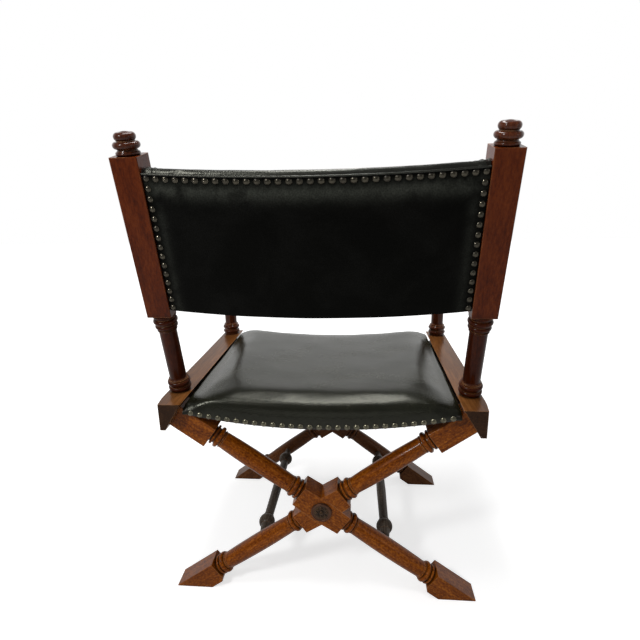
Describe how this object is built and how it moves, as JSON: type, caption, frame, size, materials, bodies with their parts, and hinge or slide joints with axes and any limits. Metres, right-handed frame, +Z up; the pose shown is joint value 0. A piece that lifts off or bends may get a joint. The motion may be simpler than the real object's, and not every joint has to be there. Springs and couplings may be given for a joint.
{
  "type": "directors chair",
  "caption": "Rigid directors chair with crossed turned legs, raked posts, flat arms, a dished leather seat and a curved leather back, both edged with domed nails.",
  "frame": {"origin": "on the floor, in the middle of the chair's bounding box in plan", "axes": "+Z up, the sitter faces -Y, +X is the left side as the sitter sees it, and the chair is mirrored across X = 0 but for the lap of its legs"},
  "size_m": [0.6062, 0.5318, 0.8754],
  "materials": {
    "frame_wood": "dark red-brown stained hardwood under a satin clear lacquer",
    "leg_wood": "orange-brown stained hardwood under a satin clear lacquer",
    "stretcher_wood": "almost black stained hardwood under a satin clear lacquer",
    "dowel_wood": "plain beech dowel, unfinished",
    "plywood": "bent plywood, unfinished",
    "cleat_wood": "plain softwood, unfinished",
    "foam": "upholstery foam, hidden inside the covers",
    "black_leather": "black grained leather, polished to a soft gloss",
    "nail_brass": "antiqued brass, domed and darkened",
    "medallion_bronze": "dark patinated bronze",
    "screw_steel": "plain steel screw"
  },
  "bodies": {
    "root": {"seat_rail_left": "frame_wood", "seat_rail_right": "frame_wood", "rear_leg_outer": "leg_wood", "rear_leg_inner": "leg_wood", "front_leg_outer": "leg_wood", "front_leg_inner": "leg_wood", "rear_lap_screw": "screw_steel", "front_lap_screw": "screw_steel", "rear_medallion": "medallion_bronze", "front_medallion": "medallion_bronze", "leg_dowels": "dowel_wood", "stretcher_left": "stretcher_wood", "stretcher_right": "stretcher_wood", "back_post_left": "frame_wood", "back_post_right": "frame_wood", "finial_left": "frame_wood", "finial_right": "frame_wood", "finial_dowels": "dowel_wood", "arm_post_left": "frame_wood", "arm_post_right": "frame_wood", "arm_left": "frame_wood", "arm_right": "frame_wood", "arm_dowels": "dowel_wood", "seat_board": "plywood", "seat_cleat_left": "cleat_wood", "seat_cleat_right": "cleat_wood", "cleat_screws": "screw_steel", "seat_screws": "screw_steel", "seat_foam": "foam", "seat_cover": "black_leather", "seat_nails_rear": "nail_brass", "seat_nails_front": "nail_brass", "back_board": "plywood", "back_dowels": "dowel_wood", "back_foam": "foam", "back_front_cover": "black_leather", "back_outer_cover": "black_leather", "back_welt": "black_leather", "back_nails_top": "nail_brass", "back_nails_left": "nail_brass", "back_nails_right": "nail_brass"}
  },
  "joints": []
}
